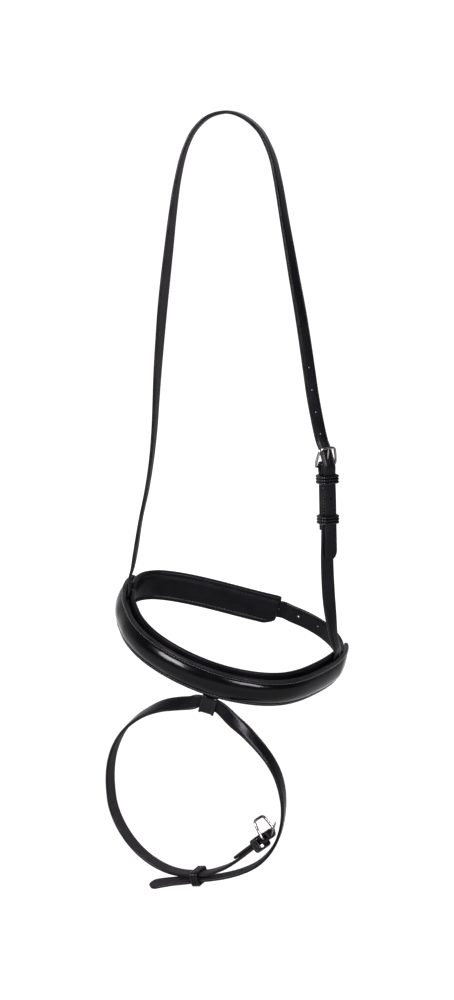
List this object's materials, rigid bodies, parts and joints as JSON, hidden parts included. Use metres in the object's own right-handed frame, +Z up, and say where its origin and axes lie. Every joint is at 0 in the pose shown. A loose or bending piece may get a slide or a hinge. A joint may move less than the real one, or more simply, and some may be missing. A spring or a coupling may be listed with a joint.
{
  "type": "flash noseband",
  "caption": "Flash noseband on its headpiece strap: crowned padded nosepiece, chin pad over a rear buckle, buckled cheek, and an unfastened flash strap looped below.",
  "frame": {"origin": "underside of the headpiece strap at its crown, the point it hangs from", "axes": "+Z up, -Y towards the front of the nosepiece, +X towards the cheek buckle side"},
  "size_m": [0.2356, 0.2234, 0.7396],
  "materials": {
    "strap_leather": "waxed bridle leather, semi-gloss black",
    "nosepiece_leather": "glossy black",
    "padded_leather": "soft satin black",
    "stainless_steel": "polished"
  },
  "bodies": {
    "headpiece": {"headpiece_strap": "strap_leather", "cheek_strap": "strap_leather", "cheek_fixed_keeper": "strap_leather"},
    "cheek_buckle": {"cheek_buckle_frame": "stainless_steel", "cheek_buckle_tongue": "stainless_steel"},
    "cheek_runner": {"cheek_runner_keeper": "strap_leather"},
    "noseband": {"noseband_strap": "nosepiece_leather", "noseband_backing": "strap_leather", "noseband_padding": "padded_leather", "chin_pad": "padded_leather", "chin_buckle_strap": "strap_leather", "noseband_billet": "strap_leather", "chin_fixed_keeper": "strap_leather", "flash_loop_tail": "strap_leather", "headpiece_foot": "strap_leather", "cheek_foot": "strap_leather"},
    "chin_buckle": {"chin_buckle_frame": "stainless_steel", "chin_buckle_tongue": "stainless_steel"},
    "chin_runner": {"chin_runner_keeper": "strap_leather"},
    "flash": {"flash_loop": "strap_leather", "flash_strap": "strap_leather", "flash_fixed_keeper": "strap_leather"},
    "flash_buckle_frame": {"flash_buckle_frame": "stainless_steel"},
    "flash_buckle_tongue": {"flash_buckle_tongue": "stainless_steel"},
    "flash_runner": {"flash_runner_keeper": "strap_leather"}
  },
  "joints": [
    {"name": "noseband_swing", "type": "hinge", "parent": "headpiece", "child": "noseband", "pos_m": [0.00515, 0.0003, -0.48753], "axis": [0.9627, -0.009, -0.2703], "range_deg": [-15, 15]},
    {"name": "flash_swing", "type": "hinge", "parent": "noseband", "child": "flash", "pos_m": [-0.0049, -0.08656, -0.52916], "axis": [0.9632, 0, -0.2689], "range_deg": [-25, 25]},
    {"name": "cheek_buckle_pivot", "type": "hinge", "parent": "headpiece", "child": "cheek_buckle", "pos_m": [0.09447, 0, -0.32566], "axis": [0.8276, 0.5596, 0.0445], "range_deg": [-2, 6]},
    {"name": "cheek_runner_slide", "type": "slide", "parent": "headpiece", "child": "cheek_runner", "axis": [0.0255, 0, -0.9997], "range_m": [-0.022, 0.008]},
    {"name": "chin_buckle_pivot", "type": "hinge", "parent": "noseband", "child": "chin_buckle", "pos_m": [0.01044, 0.08926, -0.49181], "axis": [0.2515, -0.1543, 0.9555], "range_deg": [-2, 6]},
    {"name": "chin_runner_slide", "type": "slide", "parent": "noseband", "child": "chin_runner", "axis": [0.9595, 0.1414, -0.2439], "range_m": [-0.006, 0.005]},
    {"name": "flash_buckle_pivot", "type": "hinge", "parent": "flash", "child": "flash_buckle_frame", "pos_m": [0.05243, -0.11537, -0.65515], "axis": [0.4634, 0.8861, -0.0083], "range_deg": [-40, 50]},
    {"name": "flash_tongue_pivot", "type": "hinge", "parent": "flash", "child": "flash_buckle_tongue", "pos_m": [0.05243, -0.11537, -0.65515], "axis": [0.4634, 0.8861, -0.0083], "range_deg": [-8, 70]},
    {"name": "flash_runner_slide", "type": "slide", "parent": "flash", "child": "flash_runner", "axis": [0.8935, -0.3697, 0.255], "range_m": [-0.002, 0.003]}
  ]
}
